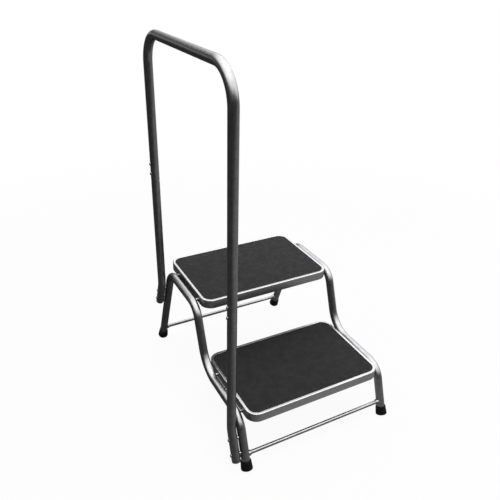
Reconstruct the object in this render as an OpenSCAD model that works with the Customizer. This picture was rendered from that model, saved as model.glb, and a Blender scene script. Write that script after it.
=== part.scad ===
// Caravan entry step: two pressed treads between two bent tube side frames,
// with a handrail bolted to the left frame. The user climbs towards +Y.

/* [Treads] */
// Width of a tread over its rim, left to right
tread_w = 384; // [340:2:430]
// Depth of a tread over its rim, front to back
tread_d = 255; // [235:5:275]
// Plan radius of a tread's corners, at the rim's outside
tread_corner = 38; // [26:1:43]
// Height of the upper tread's rim above the floor
upper_rim_z = 315; // [290:1:350]
// Height of the lower tread's rim above the floor
lower_rim_z = 151.5; // [140:0.5:180]
// How far the lower tread's front edge stands in front of the upper one's
tread_offset = 264; // [255:1:300]
// Height of a tread's skirt, rim to lower edge
skirt_h = 25; // [22:1:32]
// Thickness of the pressed sheet
sheet_t = 1.2; // [1:0.1:1.6]
// Width of the rounded rim
rim_w = 5; // [4:0.25:7]
// Depth of the mat's recess below the rim
recess_h = 3.6; // [3.2:0.2:5]
// Width of the lip turned in at the skirt's lower edge
lip_w = 6; // [4:0.5:10]

/* [Mats] */
// Thickness of the rubber mats
mat_t = 2.6; // [2:0.1:3]
// Gap between a mat and the rim round it
mat_gap = 1.4; // [0.8:0.1:2.5]
// Step of the mat's eased upper edge
mat_ease = 0.5; // [0.3:0.1:0.8]

/* [Side frames] */
// Outside diameter of every tube
tube_d = 22; // [20:0.5:25]
// Wall of every tube
tube_wall = 1.2; // [1:0.1:1.6]
// Gap between a frame tube and the skirt beside it
side_gap = 4.7; // [4:0.1:8]
// Distance of the front feet in front of the upper tread's front edge
front_foot_reach = 281; // [270:1:310]
// Distance of the rear feet behind the upper tread's front edge
rear_foot_reach = 318.5; // [300:0.5:340]
// Drop of the tube's centre line below the rim of the tread beside it
run_drop = 17; // [12:0.5:18]
// Where the rear leg's line meets the upper run, behind the tread's front edge
rear_corner_y = 204.5; // [195:0.5:225]
// Where the upper run's line meets the middle run
front_corner_y = 20; // [10:1:35]
// Where the middle run's line meets the lower run, in front of the edge
step_corner_y = 39.5; // [32:0.5:50]
// Where the lower run's line meets the front leg
toe_corner_y = 234.5; // [230:0.5:250]
// Centre line radius of the rear bend
rear_bend = 50; // [40:1:60]
// Centre line radius of the bend at the upper tread's front
front_bend = 48; // [40:1:70]
// Centre line radius of the bend behind the lower tread
step_bend = 80; // [60:1:85]
// Centre line radius of the bend above the front leg
toe_bend = 50; // [42:1:60]

/* [Handrail] */
// Height of the rail's top, above the floor
rail_top_z = 959; // [900:1:1050]
// Centre line radius of the rail's two bends
rail_bend = 72; // [65:1:100]
// Height at which the front post turns to follow the front leg
front_kink_z = 115; // [105:1:125]
// Height at which the rear post turns to follow the rear leg
rear_kink_z = 262; // [250:1:275]
// Height of the front post's lower end
front_post_end_z = 32; // [28:1:36]
// Height of the rear post's lower end
rear_post_end_z = 184; // [176:1:188]
// Centre line radius of the slight bend in each post
kink_bend = 60; // [45:1:80]
// Height of the joint between the hoop and the front post
front_joint_z = 420; // [380:1:460]
// Height of the joint between the hoop and the rear post
rear_joint_z = 582; // [540:1:640]
// Length of a post's reduced end inside the hoop
swage_l = 60; // [50:1:80]
// Clearance between the reduced end and the hoop's bore, on the radius
swage_fit = 0.2; // [0.1:0.05:0.4]
// Gap between a post and the leg beside it
post_gap = 2.5; // [2:0.5:5]

/* [Stretchers] */
// Diameter of the stretcher rods
rod_d = 10; // [8:0.5:12]
// Height of the front rod's centre
front_rod_z = 40; // [38:0.5:60]
// Height of the rear rod's centre
rear_rod_z = 43; // [38:0.5:60]
// Diameter of the saddle collars at the rods' ends
saddle_d = 15; // [13:0.5:17]
// Length of a saddle collar along the rod
saddle_l = 6; // [5:0.5:9]

/* [Feet] */
// Outside diameter of a rubber foot
foot_d = 27; // [26:0.5:30]
// Length of a foot along its leg
foot_l = 23; // [19:1:25]
// Rubber under the tube's end, along the leg
sole_t = 4.5; // [3:0.5:7]
// How much wider a foot is at its base than at its top, on the radius
foot_flare = 1.5; // [0.8:0.1:2]
// Depth of the flat that the floor leaves on a foot's low edge
foot_flat = 0.8; // [0.5:0.1:1.5]

/* [Fasteners] */
// Thread diameter of the handrail's bolts and joint screws
bolt_d = 5; // [4:1:6]
// Thread diameter of the tread screws
screw_d = 5; // [4:1:5]
// Thread diameter of the stretcher screws
rod_screw_d = 4; // [3:0.5:5]
// Length of thread that a stretcher screw has in its rod
rod_grip = 15; // [10:1:25]
// Clearance round a bolt or screw in its hole, on the diameter
hole_play = 0.6; // [0.4:0.1:1]
// Distance between the two screws of a hoop joint
joint_pitch = 26; // [20:1:30]
// Distance from a hoop joint's seam to its lower screw
joint_edge = 18; // [14:1:20]
// Height of the front post's lower bolt
front_bolt_z = 49; // [46:1:52]
// Distance between the two bolts of the front post, up the leg
front_bolt_pitch = 41; // [36:1:44]
// Height of the rear post's lower bolt
rear_bolt_z = 201; // [199:1:206]
// Distance between the two bolts of the rear post, up the leg
rear_bolt_pitch = 38; // [32:1:42]
// Distance of a tread's front screws behind its front edge
tread_screw_front = 48; // [42:1:60]
// Distance from a tread's front screws to its rear screws
tread_screw_pitch = 140; // [110:1:145]
// Diameter of the threaded bush collars between tread and tube
bush_d = 9; // [8.5:0.5:11]
// Wall of a bush's spigot round the thread
bush_wall = 1.5; // [1:0.1:1.8]
// Wall of the sleeves between the posts and the legs
spacer_wall = 1.4; // [1:0.1:2]
// Depth of a threaded insert inside its leg
insert_l = 10; // [8:0.5:14]

/* [Hidden] */

tube_fn = 48;
bend_fn = 96;
small_fn = 32;
tube_r = tube_d / 2;
bore_r = tube_r - tube_wall;
// Play between parts that only rest against each other
seat = 0.05;
// How far a straight runs into a bend's wall, and how much thicker the bend's wall is
// on each face
lap = 1;
fuller = 0.15;

// Tube centre planes, left and right of the middle
frame_x = tread_w / 2 + side_gap + tube_r;
post_x = -(frame_x + tube_d + post_gap);

// A foot's widest radius, and the bevels round its top and its base
foot_base_r = foot_d / 2 + foot_flare;
foot_bevel = 1;

// Corner points of a side frame's centre line, as [y, z]
upper_run_z = upper_rim_z - run_drop;
lower_run_z = lower_rim_z - run_drop;
rear_foot = [rear_foot_reach, 0];
front_foot = [-front_foot_reach, 0];
rear_corner = [rear_corner_y, upper_run_z];
toe_corner = [-toe_corner_y, lower_run_z];
frame_path = [tube_end(rear_foot, rear_corner), rear_corner, [front_corner_y, upper_run_z],
    [-step_corner_y, lower_run_z], toe_corner, tube_end(front_foot, toe_corner)];
frame_bends = [0, rear_bend, front_bend, step_bend, toe_bend, 0];

// The reduced end of a post, and the short neck below it
swage_r = bore_r - swage_fit;
swage_neck = 3;

// Corner points of the handrail's centre line, as [y, z]
rail_z = rail_top_z - tube_r;
front_kink = line_at(front_foot, toe_corner, front_kink_z);
rear_kink = line_at(rear_foot, rear_corner, rear_kink_z);
hoop_path = [[front_kink[0], front_joint_z], [front_kink[0], rail_z],
    [rear_kink[0], rail_z], [rear_kink[0], rear_joint_z]];
front_post_path = [line_at(front_foot, toe_corner, front_post_end_z), front_kink,
    [front_kink[0], front_joint_z - swage_neck]];
rear_post_path = [line_at(rear_foot, rear_corner, rear_post_end_z), rear_kink,
    [rear_kink[0], rear_joint_z - swage_neck]];

// Unit directions up the legs, and the bolt places on them
front_up = unit(toe_corner - front_foot);
rear_up = unit(rear_corner - rear_foot);
front_bolt = line_at(front_foot, toe_corner, front_bolt_z);
rear_bolt = line_at(rear_foot, rear_corner, rear_bolt_z);
// Tilt of each bolt's leg from the upright, for what seats on it
bolt_tilts = [for (u = [front_up, front_up, rear_up, rear_up]) -atan2(u[0], u[1])];
leg_bolts = [front_bolt, front_bolt + front_bolt_pitch * front_up,
    rear_bolt, rear_bolt + rear_bolt_pitch * rear_up];
joint_screws = [for (j = [[front_kink[0], front_joint_z], [rear_kink[0], rear_joint_z]], k = [0, 1])
    [j[0], j[1] + joint_edge + k * joint_pitch]];
front_rod = line_at(front_foot, toe_corner, front_rod_z);
rear_rod = line_at(rear_foot, rear_corner, rear_rod_z);
rods = [front_rod, rear_rod];
rod_legs = [[front_foot, toe_corner], [rear_foot, rear_corner]];

// Domed heads and nuts, as shares of the thread's diameter
head_r_share = 0.92;
head_h_share = 0.55;
socket_r_share = 0.38;
socket_h_share = 0.36;
nut_h = 0.8 * bolt_d;
nut_r = 0.9 * bolt_d;
// Length of a screw's tip past its nut
tip_l = 2;
spigot_r = screw_d / 2 + bush_wall;
spacer_r = (bolt_d + hole_play) / 2 + spacer_wall;
// A threaded insert: the body in the leg's hole and the bulge behind its wall
insert_r = bolt_d / 2 + 1;
insert_bulge_r = insert_r + 0.9;
insert_bulge_l = 3;
// Length of the cuts along a leg, and how far a cut runs past a face
leg_cut = 120;
over = 1;

// The box's middle, which becomes the origin
left_end = post_x - tube_r - seat - head_h_share * bolt_d;
right_end = frame_x + max(foot_base_r, tube_r + seat + head_h_share * rod_screw_d);
front_end = foot_edge(front_foot, toe_corner, -1);
rear_end = foot_edge(rear_foot, rear_corner, 1);
mid_x = (left_end + right_end) / 2;
mid_y = (front_end + rear_end) / 2;

function unit(v) = v / norm(v);
// The point at height z on the line through a and b
function line_at(a, b, z) = a + (b - a) * (z - a[1]) / (b[1] - a[1]);
// How far up its leg a foot's base lies, so that the floor takes the flat off its low edge
function foot_start(a, b) = let (up = unit(b - a)) (foot_base_r * abs(up[0]) - foot_flat) / up[1];
// Where a leg's tube ends, and how far a foot's wide end reaches to the front or the rear
function tube_end(a, b) = a + unit(b - a) * (foot_start(a, b) + sole_t);
function foot_edge(a, b, way) = let (up = unit(b - a))
    a[0] + up[0] * (foot_start(a, b) + foot_bevel) + way * foot_base_r * up[1];
// Direction of a path's piece i, and the signed turn at its point i
function heading(p, i) = atan2(p[i + 1][1] - p[i][1], p[i + 1][0] - p[i][0]);
function turn(p, i) = let (t = heading(p, i) - heading(p, i - 1)) t > 180 ? t - 360 : t < -180 ? t + 360 : t;
// How far a bend reaches along the straights on each side of its corner
function reach(p, bends, i) = bends[i] == 0 ? 0 : bends[i] * tan(abs(turn(p, i)) / 2);

// Moves the object's own axes to the middle of its box, on the floor
module placed() {
    translate([-mid_x, -mid_y, 0]) children();
}

// Turns a drawing in the plane of [y, z] upright, at the given x
module side_on(x) {
    translate([x, 0, 0]) rotate([90, 0, 90]) children();
}

module ring(r_out, r_in, fn = tube_fn) {
    difference() {
        circle(r = r_out, $fn = fn);
        if (r_in > 0) circle(r = r_in, $fn = fn);
    }
}

// A tube bent in one plane along the corner points of its centre line: straights between
// the corners, and round bends a little fuller than them, as a bender leaves them.
// Each straight ends inside the wall of the bends beside it.
module bent_tube(path, bends, r_out, r_in, straights) {
    last = len(path) - 2;
    for (i = [0 : straights - 1]) {
        dir = unit(path[i + 1] - path[i]);
        from = path[i] + dir * (reach(path, bends, i) - (i > 0 ? lap : 0));
        to = path[i + 1] - dir * (reach(path, bends, i + 1) - (i < last ? lap : 0));
        translate([from[0], from[1], 0]) rotate([0, 0, heading(path, i)]) rotate([0, 90, 0])
            linear_extrude(height = norm(to - from)) ring(r_out, r_in);
    }
    for (i = [1 : last]) {
        side = sign(turn(path, i));
        dir = unit(path[i] - path[i - 1]);
        from = path[i] - dir * reach(path, bends, i);
        centre = from + side * bends[i] * [-dir[1], dir[0]];
        start = heading(path, i - 1) - side * 90 + min(0, turn(path, i));
        translate([centre[0], centre[1], 0]) rotate([0, 0, start])
            rotate_extrude(angle = abs(turn(path, i)), $fn = bend_fn)
                translate([bends[i], 0]) ring(r_out + fuller, r_in > 0 ? r_in - fuller : 0);
    }
}

// A round bar along X through a point of the plane [y, z]
module cross_bar(p, x0, x1, r, fn = small_fn) {
    translate([x0, p[0], p[1]]) rotate([0, 90, 0]) cylinder(h = x1 - x0, r = r, $fn = fn);
}

// A round bar along a leg's line, used to cut what seats on the tube
module leg_bar(x, a, b, r, len_up = leg_cut) {
    side_on(x) translate([a[0], a[1], 0]) rotate([0, 0, atan2(b[1] - a[1], b[0] - a[0])])
        rotate([0, 90, 0]) cylinder(h = len_up, r = r, $fn = tube_fn);
}

// A round bar through one wall of a tube beside x, on the side that to_right says
module wall_hole(p, x, to_right, r) {
    cross_bar(p, to_right ? x : x - tube_d, to_right ? x + tube_d : x, r);
}

function tread_front(rim_z) = rim_z == upper_rim_z ? 0 : -tread_offset;

// How far a bend's centre line has left the straight, at a distance past its start
function sag(r, past) = past <= 0 ? 0 : r - sqrt(r * r - past * past);
// Height of the tube's centre line beside a tread, at a place y near one of its corners
function run_z(y, front) = front == 0
    ? upper_run_z - sag(rear_bend, y - rear_corner_y + reach(frame_path, frame_bends, 1))
        - sag(front_bend, front_corner_y + reach(frame_path, frame_bends, 2) - y)
    : lower_run_z + sag(step_bend, y + step_corner_y + reach(frame_path, frame_bends, 3))
        - sag(toe_bend, reach(frame_path, frame_bends, 4) - toe_corner_y - y);
// Screw places of a tread: on the tube's centre line, where the heads clear the skirt's lip
function tread_screws(rim_z) = [for (k = [0, 1])
    let (y = tread_front(rim_z) + tread_screw_front + k * tread_screw_pitch)
        [y, max(run_z(y, tread_front(rim_z)), rim_z - skirt_h + sheet_t + head_r_share * screw_d + seat)]];
all_tread_screws = concat(tread_screws(upper_rim_z), tread_screws(lower_rim_z));

module frame_tube(side) {
    x = side * frame_x;
    difference() {
        side_on(x) bent_tube(frame_path, frame_bends, tube_r, bore_r, len(frame_path) - 1);
        for (p = all_tread_screws) wall_hole(p, x, side < 0, spigot_r + seat);
        for (p = rods) cross_bar(p, x - tube_d, x + tube_d, (rod_screw_d + hole_play) / 2);
        if (side < 0)
            for (p = leg_bolts) wall_hole(p, x, false, insert_r + seat);
    }
}

module left_side_frame() {
    color("silver") placed() frame_tube(-1);
}

module right_side_frame() {
    color("silver") placed() frame_tube(1);
}

// Outline of a tread or mat: straight sides with round corners
module round_plate(w, d, r) {
    square([w - 2 * r, d], center = true);
    square([w, d - 2 * r], center = true);
    for (sx = [-1, 1], sy = [-1, 1])
        translate([sx * (w / 2 - r), sy * (d / 2 - r)]) circle(r = r, $fn = tube_fn);
}

// Section of the pressed edge, outer face at x = 0 and rim top at y = 0:
// the lip, the skirt, the round rim and the wall down to the deck
module edge_section() {
    r = rim_w / 2;
    translate([-sheet_t, -skirt_h]) square([sheet_t, skirt_h - r]);
    translate([-lip_w, -skirt_h]) square([lip_w, sheet_t]);
    translate([-rim_w, -recess_h - sheet_t]) square([sheet_t, recess_h + sheet_t - r]);
    intersection() {
        translate([-r, -r]) ring(r, r - sheet_t, small_fn);
        translate([-rim_w, -r]) square([rim_w, r]);
    }
}

// The pressed edge carried round the tread's outline
module pressed_edge() {
    c = tread_corner;
    for (a = [0 : 3]) {
        run = a % 2 == 0 ? tread_d - 2 * c : tread_w - 2 * c;
        out = a % 2 == 0 ? tread_w / 2 : tread_d / 2;
        rotate([0, 0, 90 * a]) translate([out, run / 2, 0]) rotate([90, 0, 0])
            linear_extrude(height = run) edge_section();
        corner_x = (a % 2 == 0 ? tread_w : tread_d) / 2 - c;
        corner_y = (a % 2 == 0 ? tread_d : tread_w) / 2 - c;
        rotate([0, 0, 90 * a]) translate([corner_x, corner_y, 0])
            rotate_extrude(angle = 90, $fn = bend_fn) translate([c, 0]) edge_section();
    }
}

module tread(rim_z) {
    difference() {
        translate([0, tread_front(rim_z) + tread_d / 2, rim_z]) {
            pressed_edge();
            translate([0, 0, -recess_h - sheet_t]) linear_extrude(height = sheet_t)
                round_plate(tread_w - 2 * rim_w + sheet_t, tread_d - 2 * rim_w + sheet_t,
                    tread_corner - rim_w + sheet_t / 2);
        }
        for (p = tread_screws(rim_z), side = [-1, 1])
            cross_bar(p, side * tread_w / 2 - rim_w, side * tread_w / 2 + rim_w, (screw_d + hole_play) / 2);
    }
}

module upper_tread() {
    color("darkgray") placed() tread(upper_rim_z);
}

module lower_tread() {
    color("darkgray") placed() tread(lower_rim_z);
}

module mat(rim_z) {
    inset = rim_w + mat_gap;
    w = tread_w - 2 * inset;
    d = tread_d - 2 * inset;
    r = tread_corner - inset;
    translate([0, tread_front(rim_z) + tread_d / 2, rim_z - recess_h]) {
        linear_extrude(height = mat_t - mat_ease) round_plate(w, d, r);
        translate([0, 0, mat_t - mat_ease]) linear_extrude(height = mat_ease)
            round_plate(w - 2 * mat_ease, d - 2 * mat_ease, r - mat_ease);
    }
}

module upper_mat() {
    color("dimgray") placed() mat(upper_rim_z);
}

module lower_mat() {
    color("dimgray") placed() mat(lower_rim_z);
}

// A plain rod between the legs, hollowed at its ends to sit round the tubes and tapped
module stretcher(k) {
    tapped = rod_grip + tip_l;
    difference() {
        cross_bar(rods[k], -frame_x, frame_x, rod_d / 2);
        for (side = [-1, 1]) {
            leg_bar(side * frame_x, rod_legs[k][0], rod_legs[k][1], tube_r);
            bottom = side * (frame_x - tube_r - tapped);
            mouth = side * (frame_x + over);
            cross_bar(rods[k], min(bottom, mouth), max(bottom, mouth), rod_screw_d / 2 + seat);
        }
    }
}

module front_stretcher() {
    color("silver") placed() stretcher(0);
}

module rear_stretcher() {
    color("silver") placed() stretcher(1);
}

// Collars round the rods' ends, hollowed to seat on the legs
module stretcher_saddles() {
    color("silver") placed() for (k = [0, 1], side = [-1, 1]) difference() {
        far = side * (frame_x - tube_r - saddle_l);
        near = side * (frame_x - tube_r / 2);
        cross_bar(rods[k], min(far, near), max(far, near), saddle_d / 2);
        cross_bar(rods[k], min(far, near) - over, max(far, near) + over, rod_d / 2 + seat);
        leg_bar(side * frame_x, rod_legs[k][0], rod_legs[k][1], tube_r + seat);
    }
}

// A screw of thread d along X: domed head with a hexagon socket, and a plain shank.
// The head's seat is at the origin and the shank points to +X.
module dome_screw(d, length) {
    head_r = head_r_share * d;
    head_h = head_h_share * d;
    socket_h = socket_h_share * d;
    dome_r = (head_r * head_r + head_h * head_h) / (2 * head_h);
    difference() {
        rotate([0, -90, 0]) rotate_extrude($fn = small_fn) intersection() {
            translate([0, head_h - dome_r]) circle(r = dome_r, $fn = bend_fn);
            square([head_r, head_h]);
        }
        translate([-head_h - over, 0, 0]) rotate([0, 90, 0])
            cylinder(h = socket_h + over, r = socket_r_share * d, $fn = 6);
    }
    rotate([0, 90, 0]) cylinder(h = length, r = d / 2, $fn = small_fn);
}

module stretcher_screws() {
    color("gainsboro") placed() for (p = rods, side = [-1, 1])
        translate([side * (frame_x + tube_r + seat), p[0], p[1]]) mirror([side > 0 ? 1 : 0, 0, 0])
            dome_screw(rod_screw_d, tube_d + rod_grip);
}

// A ferrule pushed over the tube's end: square to the leg, wider at its base, and flat
// where its low edge stands on the floor
module foot(side, a, b) {
    start = foot_start(a, b);
    bore_start = start + sole_t - seat;
    difference() {
        side_on(side * frame_x) translate([a[0], a[1], 0]) rotate([0, 0, heading([a, b], 0)])
            rotate([0, 90, 0]) translate([0, 0, start]) rotate_extrude($fn = tube_fn)
                polygon([[0, 0], [foot_base_r - foot_bevel, 0], [foot_base_r, foot_bevel],
                    [foot_d / 2, foot_l - foot_bevel], [foot_d / 2 - foot_bevel, foot_l], [0, foot_l]]);
        translate([side * frame_x, a[0], -foot_d]) cube(2 * foot_d, center = true);
        leg_bar(side * frame_x, a + bore_start * unit(b - a), b, tube_r + seat, foot_l);
    }
}

module front_left_foot() {
    color("black") placed() foot(-1, front_foot, toe_corner);
}

module front_right_foot() {
    color("black") placed() foot(1, front_foot, toe_corner);
}

module rear_left_foot() {
    color("black") placed() foot(-1, rear_foot, rear_corner);
}

module rear_right_foot() {
    color("black") placed() foot(1, rear_foot, rear_corner);
}

module rail_hoop() {
    color("silver") placed() difference() {
        side_on(post_x)
            bent_tube(hoop_path, [0, rail_bend, rail_bend, 0], tube_r, bore_r, len(hoop_path) - 1);
        for (p = joint_screws) wall_hole(p, post_x, false, (bolt_d + hole_play) / 2);
    }
}

// Half section of a post's upper straight: full tube, short neck, reduced end
module post_top_section(full_l) {
    polygon([[bore_r, 0], [tube_r, 0], [tube_r, full_l], [swage_r, full_l + swage_neck],
        [swage_r, full_l + swage_neck + swage_l], [swage_r - tube_wall, full_l + swage_neck + swage_l],
        [swage_r - tube_wall, full_l + swage_neck / 2], [bore_r, full_l - swage_neck / 2]]);
}

// A lower post: a tube with one bend, whose reduced upper end enters the hoop
module rail_post(path, screws, bolts) {
    bends = [0, kink_bend, 0];
    start_z = path[1][1] + reach(path, bends, 1) - lap;
    difference() {
        union() {
            side_on(post_x) bent_tube(path, bends, tube_r, bore_r, 1);
            translate([post_x, path[1][0], start_z])
                rotate_extrude($fn = tube_fn) post_top_section(path[2][1] - start_z);
        }
        for (p = screws) wall_hole(p, post_x, false, (bolt_d + hole_play) / 2);
        for (p = bolts) cross_bar(p, post_x - tube_d, post_x + tube_d, (bolt_d + hole_play) / 2);
    }
}

module front_rail_post() {
    color("silver") placed()
        rail_post(front_post_path, [joint_screws[0], joint_screws[1]], [leg_bolts[0], leg_bolts[1]]);
}

module rear_rail_post() {
    color("silver") placed()
        rail_post(rear_post_path, [joint_screws[2], joint_screws[3]], [leg_bolts[2], leg_bolts[3]]);
}

module hoop_joint_screws() {
    color("gainsboro") placed() for (p = joint_screws) translate([post_x - tube_r - seat, p[0], p[1]])
        dome_screw(bolt_d, 2 * tube_wall + swage_fit + nut_h + tip_l);
}

// Nuts fixed inside the reduced ends, their faces round to the wall
module hoop_joint_nuts() {
    color("gainsboro") placed() for (p = joint_screws) intersection() {
        difference() {
            cross_bar(p, post_x - tube_r, post_x - swage_r + tube_wall + nut_h, nut_r);
            cross_bar(p, post_x - tube_d, post_x + tube_d, bolt_d / 2 + seat);
        }
        translate([post_x, p[0], p[1] - tube_d])
            cylinder(h = 2 * tube_d, r = swage_r - tube_wall - seat, $fn = tube_fn);
    }
}

module post_bolts() {
    color("gainsboro") placed() for (p = leg_bolts) translate([post_x - tube_r - seat, p[0], p[1]])
        dome_screw(bolt_d, tube_d + post_gap + insert_l - tip_l);
}

// Short sleeves on the bolts, hollowed on both sides to seat on the two tubes
module post_spacers() {
    color("silver") placed() for (k = [0 : 3]) difference() {
        cross_bar(leg_bolts[k], post_x + tube_r / 2, -frame_x - tube_r / 2, spacer_r);
        cross_bar(leg_bolts[k], post_x, -frame_x, (bolt_d + hole_play) / 2);
        for (x = [post_x, -frame_x])
            translate([x, leg_bolts[k][0], leg_bolts[k][1]]) rotate([bolt_tilts[k], 0, 0])
                cylinder(h = 2 * tube_d, r = tube_r + seat, center = true, $fn = tube_fn);
    }
}

// Threaded inserts in the leg's outer wall, bulged behind it
module post_inserts() {
    crest = -frame_x - tube_r;
    color("gainsboro") placed() for (k = [0 : 3]) difference() {
        union() {
            cross_bar(leg_bolts[k], crest + tube_wall / 2, crest + insert_l, insert_r);
            intersection() {
                cross_bar(leg_bolts[k], crest, crest + tube_wall + insert_bulge_l, insert_bulge_r);
                translate([-frame_x, leg_bolts[k][0], leg_bolts[k][1]]) rotate([bolt_tilts[k], 0, 0])
                    cylinder(h = 2 * tube_d, r = bore_r - seat, center = true, $fn = tube_fn);
            }
        }
        cross_bar(leg_bolts[k], crest - over, crest + insert_l + over, bolt_d / 2 + seat);
    }
}

// Threaded bushes: a collar that spaces the tread off the tube, and a spigot in its wall
module tread_bushes(rim_z) {
    for (side = [-1, 1]) {
        skirt_x = side * (tread_w / 2 + seat);
        tube_x = side * frame_x;
        x0 = min(skirt_x, tube_x);
        x1 = max(skirt_x, tube_x);
        difference() {
            union() {
                difference() {
                    for (p = tread_screws(rim_z)) cross_bar(p, x0, x1, bush_d / 2);
                    side_on(tube_x)
                        bent_tube(frame_path, frame_bends, tube_r + seat, 0, len(frame_path) - 1);
                }
                for (p = tread_screws(rim_z)) cross_bar(p, x0, x1, spigot_r);
            }
            for (p = tread_screws(rim_z)) cross_bar(p, x0 - over, x1 + over, screw_d / 2 + seat);
        }
    }
}

module tread_screw_set(rim_z) {
    for (p = tread_screws(rim_z), side = [-1, 1])
        translate([side * (tread_w / 2 - sheet_t - seat), p[0], p[1]]) mirror([side > 0 ? 0 : 1, 0, 0])
            dome_screw(screw_d, sheet_t + side_gap + tube_r);
}

module upper_tread_bushes() {
    color("silver") placed() tread_bushes(upper_rim_z);
}

module upper_tread_screws() {
    color("gainsboro") placed() tread_screw_set(upper_rim_z);
}

module lower_tread_bushes() {
    color("silver") placed() tread_bushes(lower_rim_z);
}

module lower_tread_screws() {
    color("gainsboro") placed() tread_screw_set(lower_rim_z);
}

left_side_frame();
right_side_frame();
upper_tread();
lower_tread();
upper_mat();
lower_mat();
front_stretcher();
rear_stretcher();
stretcher_saddles();
stretcher_screws();
front_left_foot();
front_right_foot();
rear_left_foot();
rear_right_foot();
rail_hoop();
front_rail_post();
rear_rail_post();
hoop_joint_screws();
hoop_joint_nuts();
post_bolts();
post_spacers();
post_inserts();
upper_tread_bushes();
upper_tread_screws();
lower_tread_bushes();
lower_tread_screws();
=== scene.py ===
import math

import bmesh
import bpy
import numpy as np
from mathutils import Matrix, Vector


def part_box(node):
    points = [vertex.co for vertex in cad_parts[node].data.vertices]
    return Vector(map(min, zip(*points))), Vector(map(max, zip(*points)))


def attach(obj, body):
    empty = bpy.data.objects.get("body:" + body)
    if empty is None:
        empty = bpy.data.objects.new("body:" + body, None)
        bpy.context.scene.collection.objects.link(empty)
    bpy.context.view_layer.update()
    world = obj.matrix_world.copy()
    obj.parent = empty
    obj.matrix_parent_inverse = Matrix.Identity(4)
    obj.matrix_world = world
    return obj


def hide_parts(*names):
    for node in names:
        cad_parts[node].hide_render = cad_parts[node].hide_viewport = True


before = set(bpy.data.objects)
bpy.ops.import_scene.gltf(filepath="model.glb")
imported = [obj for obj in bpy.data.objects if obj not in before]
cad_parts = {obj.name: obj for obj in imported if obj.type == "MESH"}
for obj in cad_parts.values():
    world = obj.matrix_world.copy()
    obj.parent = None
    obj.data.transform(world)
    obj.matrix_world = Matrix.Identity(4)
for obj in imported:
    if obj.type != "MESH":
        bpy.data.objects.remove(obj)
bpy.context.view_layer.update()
print("stage: frame loaded")

# All lengths are in metres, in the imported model's own frame: +Z up, +Y the way one climbs.
lowCorner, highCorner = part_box("upper_tread")
middleX = (lowCorner.x + highCorner.x) / 2      # the treads' middle plane
frontEdgeY = lowCorner.y                        # the upper tread's front edge


# Meshes.
def placed(name, mesh, sharp=35.0):
    # A smooth mesh that keeps its sharp edges, linked into the scene.
    mesh.shade_smooth()
    mesh.set_sharp_from_angle(angle=math.radians(sharp))
    piece = bpy.data.objects.new(name, mesh)
    bpy.context.scene.collection.objects.link(piece)
    return piece


def gridPiece(name, points, closedU=False, closedV=True, sharp=35.0, caps=(), merge=1e-7):
    # A surface from a grid of points: row u, column v. Each cell is one face, and caps close the first or last row.
    rows, cols = points.shape[:2]
    index = np.arange(rows * cols).reshape(rows, cols)
    if closedU:
        index = np.vstack([index, index[:1]])
    if closedV:
        index = np.hstack([index, index[:, :1]])
    cellCorners = [index[:-1, :-1], index[:-1, 1:], index[1:, 1:], index[1:, :-1]]
    faces = np.stack(cellCorners, axis=-1).reshape(-1, 4).tolist()
    if "first" in caps:
        faces.append(list(range(cols)))
    if "last" in caps:
        faces.append([(rows - 1) * cols + k for k in range(cols)][::-1])
    mesh = bpy.data.meshes.new(name)
    mesh.from_pydata(points.reshape(-1, 3).tolist(), [], faces)
    work = bmesh.new()
    work.from_mesh(mesh)
    bmesh.ops.remove_doubles(work, verts=work.verts, dist=merge)
    bmesh.ops.recalc_face_normals(work, faces=work.faces)
    work.to_mesh(mesh)
    work.free()
    return placed(name, mesh, sharp)


def joined(name, pieces):
    # One piece out of several that touch nowhere.
    work = bmesh.new()
    for part in pieces:
        work.from_mesh(part.data)
        bpy.data.objects.remove(part)
    mesh = bpy.data.meshes.new(name)
    work.to_mesh(mesh)
    work.free()
    return placed(name, mesh)


def roundedPath(corners, bends, straightStep=0.03, turnStep=4.0, leastStep=1e-6):
    # Points and unit directions of a line through corners, each rounded by an arc that touches both sides.
    # An arc's start lies radius * tan(half the turn) before its corner.
    corners = np.array(corners, float)
    points, heads = [], []
    start = corners[0]
    for k in range(1, len(corners)):
        head = corners[k] - corners[k - 1]
        head = head / np.linalg.norm(head)
        turn, reach = 0.0, 0.0
        if k < len(corners) - 1:
            onward = corners[k + 1] - corners[k]
            onward = onward / np.linalg.norm(onward)
            turn = math.atan2(head[0] * onward[1] - head[1] * onward[0], head @ onward)
            reach = bends[k] * math.tan(abs(turn) / 2)
        stop = corners[k] - head * reach
        count = max(2, int(np.linalg.norm(stop - start) / straightStep) + 1)
        share = np.linspace(0, 1, count)[:, None]
        points.append(start + (stop - start) * share)
        heads.append(np.repeat(head[None], count, 0))
        start = stop
        if reach:
            across = np.array([-head[1], head[0]]) * math.copysign(1, turn)
            count = max(3, int(abs(math.degrees(turn)) / turnStep))
            angle = np.linspace(0, abs(turn), count + 1)[1:, None]
            points.append(stop + bends[k] * (np.sin(angle) * head + (1 - np.cos(angle)) * across))
            heads.append(np.cos(angle) * head + np.sin(angle) * across)
            start = points[-1][-1]
    points, heads = np.vstack(points), np.vstack(heads)
    keep = np.r_[True, np.linalg.norm(np.diff(points, axis=0), axis=1) > leastStep]
    return points[keep], heads[keep]


def ringsAlong(path, heads, radii, x, ringCount=40):
    # Circles round a path in the plane of Y and Z: centre + radius * (cos a * X + sin a * across).
    angle = np.linspace(0, 2 * math.pi, ringCount, endpoint=False)
    across = np.column_stack([np.zeros(len(path)), -heads[:, 1], heads[:, 0]])
    centre = np.column_stack([np.full(len(path), x), path])
    level = np.cos(angle)[None, :, None] * np.array([1.0, 0, 0])
    out = radii[:, None, None] * (level + np.sin(angle)[None, :, None] * across[:, None, :])
    return centre[:, None, :] + out


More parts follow.
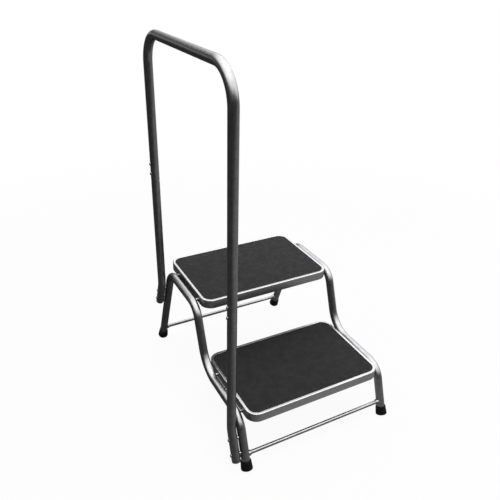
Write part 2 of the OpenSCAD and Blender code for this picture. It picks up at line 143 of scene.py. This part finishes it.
def hollowTube(name, path, heads, outer, inner, x, edge=0.0003):
    # A tube with a wall: out along the outer rings, round the end's edge, and back along the inner rings.
    firstTip, lastTip = path[:1] - heads[:1] * edge, path[-1:] + heads[-1:] * edge
    rings = [
        (firstTip, heads[:1], inner[:1] + edge),
        (firstTip, heads[:1], outer[:1] - edge),
        (path, heads, outer),
        (lastTip, heads[-1:], outer[-1:] - edge),
        (lastTip, heads[-1:], inner[-1:] + edge),
        (path[::-1], heads[::-1], inner[::-1]),
    ]
    return gridPiece(name, np.vstack([ringsAlong(*ring, x) for ring in rings]), closedU=True)


def roundedOutline(width, depth, corner, inset, z, centre, arcCount=14):
    # A rectangle with round corners, moved inwards: each corner's arc keeps its centre and loses radius.
    turns = np.linspace(0, math.pi / 2, arcCount + 1)
    parts = []
    for k, (sx, sy) in enumerate([(1, 1), (-1, 1), (-1, -1), (1, -1)]):
        angle = turns + k * math.pi / 2
        parts.append(np.column_stack([sx * (width / 2 - corner) + (corner - inset) * np.cos(angle),
                                      sy * (depth / 2 - corner) + (corner - inset) * np.sin(angle)]))
    flat = np.vstack(parts) + np.array(centre)
    return np.column_stack([flat, np.full(len(flat), z)])


def arcPoints(centreInset, centreZ, radius, fromDegrees, toDegrees, count):
    # Points of an arc in the section's plane, whose first axis runs inwards.
    angle = np.radians(np.linspace(fromDegrees, toDegrees, count))
    return [(centreInset + radius * math.cos(a), centreZ + radius * math.sin(a)) for a in angle]


def finished(piece, material, node):
    # Gives a new piece its finish and its body, and hides the node it stands for.
    piece.data.materials.append(material)
    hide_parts(node)
    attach(piece, "root")


# Finishes.
fineStops = (0.35, 0.65)                        # where the ramps of flake and speck begin and end


def newMaterial(name):
    material = bpy.data.materials.new(name)
    material.use_nodes = True
    nodes, links = material.node_tree.nodes, material.node_tree.links
    shader = nodes["Principled BSDF"]
    place = nodes.new("ShaderNodeTexCoord")
    return material, nodes, links, shader, place.outputs["Object"]


def noiseNode(nodes, links, place, scale, detail=3.0, roughness=0.55):
    node = nodes.new("ShaderNodeTexNoise")
    node.inputs["Scale"].default_value = scale
    node.inputs["Detail"].default_value = detail
    node.inputs["Roughness"].default_value = roughness
    links.new(place, node.inputs["Vector"])
    return node.outputs["Fac"]


def grey(value, tint=0.0):
    # A grey whose blue is raised by tint.
    return (value, value, value * (1 + tint))


def toneNode(nodes, links, noise, low, high, stops=(0.3, 0.7), tint=0.0):
    # Noise turned into a range of greys between two stops.
    node = nodes.new("ShaderNodeValToRGB")
    for element, position, value in zip(node.color_ramp.elements, stops, (low, high)):
        element.position = position
        element.color = (*grey(value, tint), 1)
    links.new(noise, node.inputs["Fac"])
    return node.outputs["Color"]


def overlayNode(nodes, links, first, second):
    # Inputs 6 and 7 and output 2 are the colour sockets.
    node = nodes.new("ShaderNodeMix")
    node.data_type = "RGBA"
    node.blend_type = "OVERLAY"
    node.inputs[0].default_value = 1.0
    links.new(first, node.inputs[6])
    links.new(second, node.inputs[7])
    return node.outputs[2]


def bumpNode(nodes, links, shader, height, strength, distance):
    node = nodes.new("ShaderNodeBump")
    node.inputs["Strength"].default_value = strength
    node.inputs["Distance"].default_value = distance
    links.new(height, node.inputs["Height"])
    links.new(node.outputs["Normal"], shader.inputs["Normal"])


tubeLook = {
    "mottleScale": 70.0, "flakeScale": 900.0, "glossRatio": 2.3, "tint": 0.02,
    "dark": 0.108, "light": 0.138, "flake": 0.09, "smooth": 0.27, "rough": 0.33,
    "metallic": 0.92, "edge": 0.75, "bumpScale": 700.0, "bump": 0.015, "bumpDepth": 0.0001,
}
# The pressings' grey is painted lighter than the tubes' though the paint is the same: a painted reflection of the
# pale floor.
treadPaintedSheenLook = {
    "mottleScale": 120.0, "flakeScale": 700.0, "glossRatio": 2.3, "tint": 0.02,
    "dark": 0.162, "light": 0.182, "flake": 0.05, "smooth": 0.29, "rough": 0.35,
    "metallic": 0.85, "edge": 0.8, "bumpScale": 520.0, "bump": 0.015, "bumpDepth": 0.0002,
}
zincLook = {
    "mottleScale": 200.0, "flakeScale": 1500.0, "glossRatio": 2.3, "tint": 0.02,
    "dark": 0.14, "light": 0.18, "flake": 0.08, "smooth": 0.24, "rough": 0.36,
    "metallic": 1.0, "edge": 1.0, "bumpScale": 1500.0, "bump": 0.08, "bumpDepth": 0.0002,
}


def metalFinish(name, look):
    # Silver coat or zinc: fine flake over a slow mottle, with the gloss broken up the same way.
    material, nodes, links, shader, place = newMaterial(name)
    slowNoise = noiseNode(nodes, links, place, look["mottleScale"])
    slow = toneNode(nodes, links, slowNoise, look["dark"], look["light"], tint=look["tint"])
    flakeNoise = noiseNode(nodes, links, place, look["flakeScale"], 2.0)
    flake = toneNode(nodes, links, flakeNoise, 0.5 - look["flake"], 0.5 + look["flake"], fineStops)
    links.new(overlayNode(nodes, links, slow, flake), shader.inputs["Base Color"])
    glossNoise = noiseNode(nodes, links, place, look["mottleScale"] * look["glossRatio"])
    links.new(toneNode(nodes, links, glossNoise, look["smooth"], look["rough"]), shader.inputs["Roughness"])
    shader.inputs["Metallic"].default_value = look["metallic"]
    shader.inputs["Specular Tint"].default_value = (*grey(look["edge"]), 1)
    height = noiseNode(nodes, links, place, look["bumpScale"], 2.0)
    bumpNode(nodes, links, shader, height, look["bump"], look["bumpDepth"])
    return material


tubeFinish = metalFinish("silver_tube", tubeLook)
# Painted lighter than the tubes, standing for the floor's reflection on the skirts.
treadPaintedSheenFinish = metalFinish("silver_pressing_painted_sheen", treadPaintedSheenLook)
zincFinish = metalFinish("zinc_fastener", zincLook)

matLook = {
    "dark": 0.0160, "light": 0.0235, "tint": 0.03, "stops": (0.32, 0.68),
    "mottleScale": 40.0, "mottleDetail": 5.0, "mottleRoughness": 0.65, "speck": (0.42, 0.60), "speckScale": 510.0,
    "rough": (0.62, 0.80), "roughScale": 90.0, "gloss": 0.03,
    "grainScale": 850.0, "grain": 0.4, "grainDepth": 0.0004,
}


def matFinish(look):
    # Grained rubber: a pebble grain from Voronoi cells, over a slow change of tone.
    material, nodes, links, shader, place = newMaterial("mat_rubber")
    slowNoise = noiseNode(nodes, links, place, look["mottleScale"], look["mottleDetail"], look["mottleRoughness"])
    slow = toneNode(nodes, links, slowNoise, look["dark"], look["light"], look["stops"], look["tint"])
    speckNoise = noiseNode(nodes, links, place, look["speckScale"], 2.0)
    speck = toneNode(nodes, links, speckNoise, *look["speck"], fineStops)
    links.new(overlayNode(nodes, links, slow, speck), shader.inputs["Base Color"])
    roughNoise = noiseNode(nodes, links, place, look["roughScale"])
    links.new(toneNode(nodes, links, roughNoise, *look["rough"]), shader.inputs["Roughness"])
    shader.inputs["Specular IOR Level"].default_value = look["gloss"]
    cells = nodes.new("ShaderNodeTexVoronoi")
    cells.inputs["Scale"].default_value = look["grainScale"]
    links.new(place, cells.inputs["Vector"])
    bumpNode(nodes, links, shader, cells.outputs["Distance"], look["grain"], look["grainDepth"])
    return material


footLook = {
    "tone": (0.003, 0.006), "toneScale": 160.0, "rough": (0.45, 0.62), "roughScale": 240.0, "gloss": 0.05,
    "grainScale": 900.0, "grain": 0.15, "grainDepth": 0.0002,
}


def footFinish(look):
    # Black moulded rubber, duller where it scuffs.
    material, nodes, links, shader, place = newMaterial("foot_rubber")
    toneNoise = noiseNode(nodes, links, place, look["toneScale"])
    links.new(toneNode(nodes, links, toneNoise, *look["tone"]), shader.inputs["Base Color"])
    roughNoise = noiseNode(nodes, links, place, look["roughScale"])
    links.new(toneNode(nodes, links, roughNoise, *look["rough"]), shader.inputs["Roughness"])
    shader.inputs["Specular IOR Level"].default_value = look["gloss"]
    height = noiseNode(nodes, links, place, look["grainScale"])
    bumpNode(nodes, links, shader, height, look["grain"], look["grainDepth"])
    return material


matRubber = matFinish(matLook)
footRubber = footFinish(footLook)
print("stage: finishes made")

# Side frames. The corners are the tube's centre line as (distance behind the upper tread's front edge, height),
# from the rear foot to the front one. The tube ends on its feet's soles, so their sizes stand here too.
frameSizes = {
    "legX": 0.2077,                             # centre plane of each side frame, from the middle
    "radius": 0.011,
    "wall": 0.0012,
    "corners": [(0.3185, 0.0), (0.2045, 0.298), (0.020, 0.298), (-0.0395, 0.1345), (-0.2345, 0.1345), (-0.281, 0.0)],
    "bends": [0.0, 0.050, 0.048, 0.080, 0.050, 0.0],
}
footSizes = {
    "radius": 0.0135,
    "baseRadius": 0.015,
    "length": 0.023,
    "bevel": 0.001,
    "sole": 0.0045,                             # thickness under the tube's end
    "flat": 0.0008,                             # how much of the low edge the floor presses level
    "bore": 0.01105,
    "boreShown": 0.005,                         # how far in from the top the bore is modelled
    "soleStep": 0.004,                          # from the sole's edge to the cap that closes it
}


def onFrame(pairs):
    return [(y + frontEdgeY, z) for y, z in pairs]


def legPoint(foot, corner, z):
    return (foot[0] + (corner[0] - foot[0]) * z / corner[1], z)


def legAxes(foot, corner):
    # A leg's unit direction upwards, and how far up it the foot's base lies for the floor to flatten its low edge.
    up = np.array(corner) - np.array(foot)
    up = up / np.linalg.norm(up)
    return up, (footSizes["baseRadius"] * abs(up[0]) - footSizes["flat"]) / up[1]


def tubeEnd(foot, corner):
    up, start = legAxes(foot, corner)
    return tuple(np.array(foot) + up * (start + footSizes["sole"]))


corners = frameSizes["corners"]
rearFoot, rearCorner, toeCorner, frontFoot = corners[0], corners[1], corners[4], corners[5]
framePath = [tubeEnd(rearFoot, rearCorner)] + corners[1:5] + [tubeEnd(frontFoot, toeCorner)]
linePoints, lineHeads = roundedPath(onFrame(framePath), frameSizes["bends"])
full = np.full(len(linePoints), frameSizes["radius"])
hollow = full - frameSizes["wall"]
for side, label in ((-1, "left"), (1, "right")):
    legPlane = middleX + side * frameSizes["legX"]
    tube = hollowTube(label + "_frame_tube", linePoints, lineHeads, full, hollow, legPlane)
    finished(tube, tubeFinish, label + "_side_frame")
print("stage: side frames made")

# Handrail.
railSizes = {
    "postX": -0.2322,
    "topZ": 0.948,
    "bend": 0.072,
    "frontKinkZ": 0.115,
    "rearKinkZ": 0.262,
    "kinkBend": 0.060,
    "frontEndZ": 0.032,
    "rearEndZ": 0.184,
    "frontJointZ": 0.420,
    "rearJointZ": 0.582,
    "neck": 0.003,                              # bare gap between a post's shoulder and the hoop's end
    "ringStep": 0.0006,                         # extra rings beside the shoulder, which keep its shading local
    "reducedRadius": 0.0096,
    "reducedLength": 0.060,
}
postX = middleX + railSizes["postX"]
frontKink = legPoint(frontFoot, toeCorner, railSizes["frontKinkZ"])
rearKink = legPoint(rearFoot, rearCorner, railSizes["rearKinkZ"])
hoopPath = [(frontKink[0], railSizes["frontJointZ"]), (frontKink[0], railSizes["topZ"]),
            (rearKink[0], railSizes["topZ"]), (rearKink[0], railSizes["rearJointZ"])]
hoopPoints, hoopHeads = roundedPath(onFrame(hoopPath), [0, railSizes["bend"], railSizes["bend"], 0])
full = np.full(len(hoopPoints), frameSizes["radius"])
hoop = hollowTube("handrail_hoop", hoopPoints, hoopHeads, full, full - frameSizes["wall"], postX)
finished(hoop, tubeFinish, "rail_hoop")


def lowerPost(name, node, foot, corner, kink, endZ, jointZ):
    # A post with one bend. Above its shoulder the tube is bare and reduced to enter the hoop.
    shoulder, step = jointZ - railSizes["neck"], railSizes["ringStep"]
    path = onFrame([legPoint(foot, corner, endZ), kink, (kink[0], shoulder)])
    points, heads = roundedPath(path, [0, railSizes["kinkBend"], 0])
    heights = (shoulder - step, shoulder, jointZ, jointZ + step, jointZ + railSizes["reducedLength"])
    points = np.vstack([points[:-1], [[points[-1][0], z] for z in heights]])
    heads = np.vstack([heads[:-1], np.repeat([[0.0, 1.0]], len(heights), 0)])
    narrow = 3                                  # the last three heights have the reduced radius
    outer = np.r_[np.full(len(points) - narrow, frameSizes["radius"]), np.full(narrow, railSizes["reducedRadius"])]
    post = hollowTube(name, points, heads, outer, outer - frameSizes["wall"], postX)
    finished(post, tubeFinish, node)
    post.data.materials.append(zincFinish)
    centres = np.empty(len(post.data.polygons) * 3)
    post.data.polygons.foreach_get("center", centres)
    bare = centres.reshape(-1, 3)[:, 2] > shoulder
    post.data.polygons.foreach_set("material_index", bare.astype(np.int32))


lowerPost("front_post_tube", "front_rail_post", frontFoot, toeCorner, frontKink,
          railSizes["frontEndZ"], railSizes["frontJointZ"])
lowerPost("rear_post_tube", "rear_rail_post", rearFoot, rearCorner, rearKink,
          railSizes["rearEndZ"], railSizes["rearJointZ"])
print("stage: handrail made")

# Treads and mats.
treadSizes = {
    "width": 0.384,
    "depth": 0.255,
    "corner": 0.030,
    "upperZ": 0.315,
    "lowerZ": 0.1515,
    "offset": 0.264,                            # how far the lower tread lies ahead of the upper one
    "skirt": 0.025,
    "sheet": 0.0012,
    "bead": 0.0026,                             # radius of the rolled edge
    "ledge": 0.0002,                            # how far the flat ledge lies under the bead's top
    "ledgeEnd": 0.0071,                         # from the outer edge to the recess wall
    "ledgeBend": 0.0004,
    "recess": 0.0036,
    "lip": 0.006,
    "lipBend": 0.0016,
    "lipEase": 0.0003,
    "deckBend": 0.0007,
    "deckStart": 0.0021,                        # from the recess wall to where the flat deck begins
}
matSizes = {"inset": 0.0079, "thickness": 0.0026, "ease": 0.0007, "flatStart": 0.004}


def treadSection():
    # The pressing's closed section: deck edge, recess wall, ledge, rolled bead, skirt, lip, and back by one sheet.
    sheet, bead, lip, tip = treadSizes["sheet"], treadSizes["bead"], treadSizes["lip"], treadSizes["lipEase"]
    deck, bottom = -treadSizes["recess"], -treadSizes["skirt"]
    ledge, end = treadSizes["ledge"], treadSizes["ledgeEnd"]
    bend, small, ease = treadSizes["lipBend"], treadSizes["deckBend"], treadSizes["ledgeBend"]
    meet = math.degrees(math.asin((bead - ledge) / bead))
    below = math.degrees(math.asin((bead - ledge - sheet) / (bead - sheet)))
    points = [(end + treadSizes["deckStart"], deck)]
    points += arcPoints(end + small, deck + small, small, 270, 180, 5)
    points += arcPoints(end - ease, -ledge - ease, ease, 0, 90, 4)
    points += arcPoints(bead, -bead, bead, meet, 180, 13)
    points += arcPoints(bend, bottom + bend, bend, 180, 270, 6)
    points += [(lip - tip, bottom), (lip, bottom + tip), (lip, bottom + sheet - tip), (lip - tip, bottom + sheet)]
    points += arcPoints(bend, bottom + bend, bend - sheet, 270, 180, 4)
    points += arcPoints(bead, -bead, bead - sheet, 180, below, 9)
    points += [(end - sheet, -ledge - sheet)]
    points += arcPoints(end + small, deck + small, small + sheet, 180, 270, 5)
    points += [(end + treadSizes["deckStart"], deck - sheet)]
    return points


def outlines(section, frontY):
    # One outline for each (inset, height) of a section, round the middle of the tread.
    centre = (middleX, frontEdgeY + frontY + treadSizes["depth"] / 2)
    size = (treadSizes["width"], treadSizes["depth"], treadSizes["corner"])
    return np.stack([roundedOutline(*size, inset, z, centre) for inset, z in section])


def tread(name, node, rimZ, frontY):
    section = [(inset, rimZ + z) for inset, z in treadSection()]
    piece = gridPiece(name, outlines(section, frontY), caps=("first", "last"))
    finished(piece, treadPaintedSheenFinish, node)


def mat(name, node, rimZ, frontY):
    inset, low, ease = matSizes["inset"], rimZ - treadSizes["recess"], matSizes["ease"]
    top = low + matSizes["thickness"]
    section = [(inset, low)] + arcPoints(inset + ease, top - ease, ease, 180, 90, 5)
    section += [(inset + matSizes["flatStart"], top)]
    piece = gridPiece(name, outlines(section, frontY), caps=("first", "last"), sharp=60)
    finished(piece, matRubber, node)


tread("upper_tread_pressing", "upper_tread", treadSizes["upperZ"], 0.0)
tread("lower_tread_pressing", "lower_tread", treadSizes["lowerZ"], -treadSizes["offset"])
mat("upper_tread_mat", "upper_mat", treadSizes["upperZ"], 0.0)
mat("lower_tread_mat", "lower_mat", treadSizes["lowerZ"], -treadSizes["offset"])
print("stage: treads and mats made")

# Stretchers.
rodSizes = {
    "radius": 0.005,
    "rings": 13,
    "frontZ": 0.040,
    "rearZ": 0.043,
    "intoLeg": 0.0006,
    "collarRadius": 0.0075,
    "collarBore": 0.0051,
    "collarInto": 0.003,                        # how far a collar reaches into the leg
    "collarLand": 0.001,
    "collarLength": 0.006,
    "collarEdge": 0.0006,                       # what is left of its thickness at the thin end
}


def lathedAlongX(name, profile, y, z, ringCount=32, caps=("first", "last")):
    # A profile of (x, radius) turned about a line along X.
    profile = np.array(profile, float)
    angle = np.linspace(0, 2 * math.pi, ringCount, endpoint=False)
    grid = np.empty((len(profile), ringCount, 3))
    grid[..., 0] = profile[:, :1]
    grid[..., 1] = y + profile[:, 1:] * np.cos(angle)
    grid[..., 2] = z + profile[:, 1:] * np.sin(angle)
    return gridPiece(name, grid, caps=caps)


def collar(side, y, z):
    # A flared ring on the leg's inner face, thinning towards the middle along half a cosine wave.
    face = middleX + side * (frameSizes["legX"] - frameSizes["radius"])
    big, small, land = rodSizes["collarRadius"], rodSizes["collarBore"], rodSizes["collarLand"]
    into, flare = rodSizes["collarInto"], rodSizes["collarLength"] - land
    drop = big - small - rodSizes["collarEdge"]
    profile = [(face + side * into, small), (face + side * into, big), (face - side * land, big)]
    for share in (0.15, 0.3, 0.45, 0.6, 0.75, 0.9, 1.0):
        profile.append((face - side * (land + flare * share), big - drop * (1 - math.cos(share * math.pi)) / 2))
    profile += [(face - side * rodSizes["collarLength"], small)]
    return lathedAlongX("collar", profile, y, z, caps=())


collars = []
reach = frameSizes["legX"] - frameSizes["radius"] + rodSizes["intoLeg"]
for label, foot, corner in (("front", frontFoot, toeCorner), ("rear", rearFoot, rearCorner)):
    z = rodSizes[label + "Z"]
    y = legPoint(foot, corner, z)[0] + frontEdgeY
    profile = [(middleX + x, rodSizes["radius"]) for x in np.linspace(-reach, reach, rodSizes["rings"])]
    finished(lathedAlongX(label + "_stretcher_rod", profile, y, z), tubeFinish, label + "_stretcher")
    collars += [collar(side, y, z) for side in (-1, 1)]
finished(joined("stretcher_collars", collars), tubeFinish, "stretcher_saddles")
print("stage: stretchers made")


# Feet.
def ferrule(name, node, x, footPoint, corner, ringCount=48):
    # A ferrule square to its leg: a profile of (distance up the leg, radius) turned about the leg's line.
    # What would lie under the floor is pressed level with it.
    up, start = legAxes(footPoint, corner)
    base, top, length = footSizes["baseRadius"], footSizes["radius"], footSizes["length"]
    bevel, bore = footSizes["bevel"], footSizes["bore"]
    turn = np.linspace(0, math.pi / 2, 5)
    profile = [(0.0, base - bevel - footSizes["soleStep"]), (0.0, base - bevel)]
    profile += [(bevel - bevel * math.cos(a), base - bevel + bevel * math.sin(a)) for a in turn[1:]]
    profile += [(bevel + (length - 2 * bevel) * u, base + (top - base) * u) for u in (0.25, 0.5, 0.75, 1.0)]
    profile += [(length - bevel + bevel * math.sin(a), top - bevel + bevel * math.cos(a)) for a in turn[1:]]
    profile += [(length, bore), (length - footSizes["boreShown"], bore)]
    profile = np.array(profile)
    angle = np.linspace(0, 2 * math.pi, ringCount, endpoint=False)
    along = profile[:, :1] + start
    radius = profile[:, 1:]
    grid = np.empty((len(profile), ringCount, 3))
    grid[..., 0] = x + radius * np.cos(angle)
    grid[..., 1] = footPoint[0] + frontEdgeY + along * up[0] + radius * np.sin(angle) * up[1]
    grid[..., 2] = np.maximum(along * up[1] - radius * np.sin(angle) * up[0], 0)
    piece = gridPiece(name, grid, caps=("first", "last"), sharp=40)
    finished(piece, footRubber, node)


for side, label in ((-1, "left"), (1, "right")):
    legPlane = middleX + side * frameSizes["legX"]
    ferrule("front_%s_ferrule" % label, "front_%s_foot" % label, legPlane, frontFoot, toeCorner)
    ferrule("rear_%s_ferrule" % label, "rear_%s_foot" % label, legPlane, rearFoot, rearCorner)
print("stage: feet made")

# The fasteners keep their own shapes.
fasteners = ["stretcher_screws", "hoop_joint_screws", "hoop_joint_nuts", "post_bolts", "post_spacers",
             "post_inserts", "upper_tread_bushes", "upper_tread_screws", "lower_tread_bushes", "lower_tread_screws"]
for node in fasteners:
    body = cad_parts[node]
    body.data.materials.clear()
    body.data.materials.append(zincFinish)
print("stage: fasteners finished")

# Floor, light and camera. A box is a painted highlight in the backdrop, a soft light that glows only in reflections
# and lights nothing:
# low = the heights between which it fades in, as the vertical part of a direction, and edge = the same for the part
# along its facing.
studio = {
    "floorRadius": 40.0,
    "floorSides": 96,
    "floorTone": 0.80,
    "lift": (0.94, 1.0),                        # how white the camera sees the floor, near the object and far off
    "liftReach": (1.1, 2.4),
    # painted shade: the dim tone that reflections see near the camera, at the left and away from the backdrop
    "paintedDimTone": 0.09,
    "paperTone": 0.80,
    "nearEdge": 0.0,
    "leftEdge": 0.8,
    "fade": 1.2,
    # a painted pool of light that reflections see on the floor beside the steps
    "paintedLightPool": {"centre": (0.25, -0.35, 0.0), "reach": (0.20, 0.75), "tone": 0.78},
    "worldLight": 0.60,
    "backdropTop": (0.10, 0.24),
    "backdropSide": (0.2, 0.7),
    # painted highlights: soft boxes seen only in reflections, which light nothing
    "topHighlightBox": (0.36, 0.76),
    "rightHighlightBox": {"facing": (0.985, 0.174, 0.0), "edge": (0.18, 0.50), "low": (0.20, 0.50)},
    "sideHighlightBox": {"facing": (0.985, 0.174, 0.0), "edge": (0.60, 0.90), "low": (0.00, 0.25)},
    "highlightBoxTone": 7.0,
    "lamp": {"place": (0.5, -0.4, 3.2), "size": 3.0, "radiance": 2.0},
}
view = {
    "place": (-0.64813, -1.12785, 1.12939), "azimuth": -0.493144, "down": 0.500638, "roll": -0.023977,
    "lensInPixels": 560.385, "pictureWidth": 500, "sensor": 36, "clipStart": 0.01,
}


def mathNode(nodes, links, kind, first, second):
    # One calculation with two values, each a number or another node's output.
    node = nodes.new("ShaderNodeMath")
    node.operation = kind
    for socket, value in zip(node.inputs, (first, second)):
        if isinstance(value, (int, float)):
            socket.default_value = value
        else:
            links.new(value, socket)
    return node.outputs[0]


def vectorNode(nodes, links, kind, place, other):
    # The dot product with a direction, or the distance from a point.
    node = nodes.new("ShaderNodeVectorMath")
    node.operation = kind
    node.inputs[1].default_value = other
    links.new(place, node.inputs[0])
    return node.outputs["Value"]


def rangeNode(nodes, links, value, low, high, fromValue, toValue):
    # A smooth step from one value to another as the input goes from low to high.
    node = nodes.new("ShaderNodeMapRange")
    node.interpolation_type = "SMOOTHSTEP"
    for key, number in (("From Min", low), ("From Max", high), ("To Min", fromValue), ("To Max", toValue)):
        node.inputs[key].default_value = number
    links.new(value, node.inputs["Value"])
    return node.outputs["Result"]


def lookAxes():
    # The camera's level look and the way to its right.
    a = view["azimuth"]
    return (-math.sin(a), math.cos(a), 0.0), (math.cos(a), math.sin(a), 0.0)


def studioFloor():
    # A pale floor, lifted towards white for the camera. Reflections see a painted tone by place: paper ahead and at
    # the right, painted dim shade near the camera and at the left, and a painted pool of light beside the steps.
    sides = studio["floorSides"]
    angle = np.linspace(0, 2 * math.pi, sides, endpoint=False)
    ring = np.column_stack([np.cos(angle), np.sin(angle), np.zeros(sides)]) * studio["floorRadius"]
    mesh = bpy.data.meshes.new("studio_floor")
    mesh.from_pydata(ring.tolist(), [], [list(range(sides))])
    floor = bpy.data.objects.new("studio_floor", mesh)
    bpy.context.scene.collection.objects.link(floor)
    material = bpy.data.materials.new("floor_paper")
    material.use_nodes = True
    nodes, links = material.node_tree.nodes, material.node_tree.links
    nodes.clear()
    place = nodes.new("ShaderNodeTexCoord").outputs["Object"]
    inside = []
    for way, start in zip(lookAxes(), (studio["nearEdge"], studio["leftEdge"])):
        # How far a place lies past the paper's edge, ahead of the camera or to its right.
        along = vectorNode(nodes, links, "DOT_PRODUCT", place, way)
        inside.append(mathNode(nodes, links, "SUBTRACT", along, Vector(way).dot(Vector(view["place"])) + start))
    both = mathNode(nodes, links, "MINIMUM", *inside)
    # Painted shade: reflections see the floor dim near the camera and at the left.
    sweep = rangeNode(nodes, links, both, -studio["fade"], 0.0, studio["paintedDimTone"], studio["paperTone"])
    # Painted light: a pale pool on the floor beside the steps, seen only in reflections.
    look = studio["paintedLightPool"]
    apart = vectorNode(nodes, links, "DISTANCE", place, look["centre"])
    paintedLightPool = rangeNode(nodes, links, apart, *look["reach"], look["tone"], 0.0)
    tone = mathNode(nodes, links, "MAXIMUM", sweep, paintedLightPool)
    path = nodes.new("ShaderNodeLightPath")
    camera = path.outputs["Is Camera Ray"]
    seen = mathNode(nodes, links, "MAXIMUM", camera, path.outputs["Is Glossy Ray"])
    seen = mathNode(nodes, links, "MAXIMUM", seen, path.outputs["Is Transmission Ray"])
    away = vectorNode(nodes, links, "DISTANCE", place, (0, 0, 0))
    lift = rangeNode(nodes, links, away, *studio["liftReach"], *studio["lift"])
    diffuse = nodes.new("ShaderNodeBsdfDiffuse")
    diffuse.inputs["Color"].default_value = (*grey(studio["floorTone"]), 1)
    light = nodes.new("ShaderNodeEmission")
    links.new(mathNode(nodes, links, "MAXIMUM", camera, tone), light.inputs["Strength"])
    mix = nodes.new("ShaderNodeMixShader")
    links.new(mathNode(nodes, links, "MULTIPLY", seen, lift), mix.inputs[0])
    links.new(diffuse.outputs[0], mix.inputs[1])
    links.new(light.outputs[0], mix.inputs[2])
    out = nodes.new("ShaderNodeOutputMaterial")
    links.new(mix.outputs[0], out.inputs["Surface"])
    mesh.materials.append(material)


def studioWorld():
    # White to the camera, a plain level of light, and for reflections a low white backdrop ahead, with painted dim
    # shade elsewhere and painted highlights from soft boxes above it and at the right, which glow only in
    # reflections and light nothing.
    world = bpy.data.worlds.new("studio")
    bpy.context.scene.world = world
    world.use_nodes = True
    nodes, links = world.node_tree.nodes, world.node_tree.links
    nodes.clear()
    place = nodes.new("ShaderNodeTexCoord").outputs["Generated"]
    height = vectorNode(nodes, links, "DOT_PRODUCT", place, (0, 0, 1))
    ahead = vectorNode(nodes, links, "DOT_PRODUCT", place, lookAxes()[0])
    low = rangeNode(nodes, links, height, *studio["backdropTop"], 1.0, 0.0)
    facing = rangeNode(nodes, links, ahead, *studio["backdropSide"], 0.0, 1.0)
    white = mathNode(nodes, links, "MULTIPLY", low, facing)
    # Painted shade: reflections see the world dim away from the low backdrop.
    paper = rangeNode(nodes, links, white, 0.0, 1.0, studio["paintedDimTone"], 1.0)
    # Painted highlights: soft boxes that glow only in reflections, far above the plain level of light.
    paintedHighlights = rangeNode(nodes, links, height, *studio["topHighlightBox"], 0.0, 1.0)
    for highlightBox in (studio["rightHighlightBox"], studio["sideHighlightBox"]):
        towards = vectorNode(nodes, links, "DOT_PRODUCT", place, highlightBox["facing"])
        above = rangeNode(nodes, links, height, *highlightBox["low"], 0.0, 1.0)
        aside = rangeNode(nodes, links, towards, *highlightBox["edge"], 0.0, 1.0)
        paintedHighlights = mathNode(nodes, links, "MAXIMUM", paintedHighlights, mathNode(nodes, links, "MULTIPLY", above, aside))
    tone = mathNode(nodes, links, "ADD", paper, mathNode(nodes, links, "MULTIPLY", paintedHighlights, studio["highlightBoxTone"]))
    path = nodes.new("ShaderNodeLightPath")
    mirrored = mathNode(nodes, links, "MAXIMUM", path.outputs["Is Glossy Ray"], path.outputs["Is Transmission Ray"])
    shown = mathNode(nodes, links, "MULTIPLY", mirrored, tone)
    others = mathNode(nodes, links, "SUBTRACT", 1.0, mirrored)
    level = mathNode(nodes, links, "ADD", shown, mathNode(nodes, links, "MULTIPLY", others, studio["worldLight"]))
    back = nodes.new("ShaderNodeBackground")
    back.inputs["Color"].default_value = (1, 1, 1, 1)
    links.new(mathNode(nodes, links, "MAXIMUM", path.outputs["Is Camera Ray"], level), back.inputs["Strength"])
    out = nodes.new("ShaderNodeOutputWorld")
    links.new(back.outputs[0], out.inputs["Surface"])


def softLamp(look):
    # A square of light from above, of a given radiance: power = radiance * pi * area.
    data = bpy.data.lights.new("overheadLamp", "AREA")
    data.shape = "SQUARE"
    data.size = look["size"]
    data.energy = look["radiance"] * math.pi * look["size"] ** 2
    lamp = bpy.data.objects.new("overheadLamp", data)
    bpy.context.scene.collection.objects.link(lamp)
    lamp.location = look["place"]


def photoCamera():
    # The camera of the photograph: look = (-sin a cos e, cos a cos e, -sin e), then rolled about it.
    a, e, roll = view["azimuth"], view["down"], view["roll"]
    look = Vector((-math.sin(a) * math.cos(e), math.cos(a) * math.cos(e), -math.sin(e)))
    right = look.cross(Vector((0, 0, 1))).normalized()
    below = look.cross(right).normalized()
    axisX = math.cos(roll) * right + math.sin(roll) * below
    axisDown = -math.sin(roll) * right + math.cos(roll) * below
    data = bpy.data.cameras.new("photo_camera")
    data.sensor_width = view["sensor"]
    data.lens = view["lensInPixels"] / view["pictureWidth"] * view["sensor"]
    data.clip_start = view["clipStart"]
    camera = bpy.data.objects.new("photo_camera", data)
    bpy.context.scene.collection.objects.link(camera)
    turn = Matrix((axisX, -axisDown, -look)).transposed()
    camera.matrix_world = Matrix.Translation(view["place"]) @ turn.to_4x4()
    bpy.context.scene.camera = camera


photoCamera()
studioFloor()
studioWorld()
softLamp(studio["lamp"])
bpy.context.scene.view_settings.view_transform = "Standard"
print("stage: floor, light and camera set")
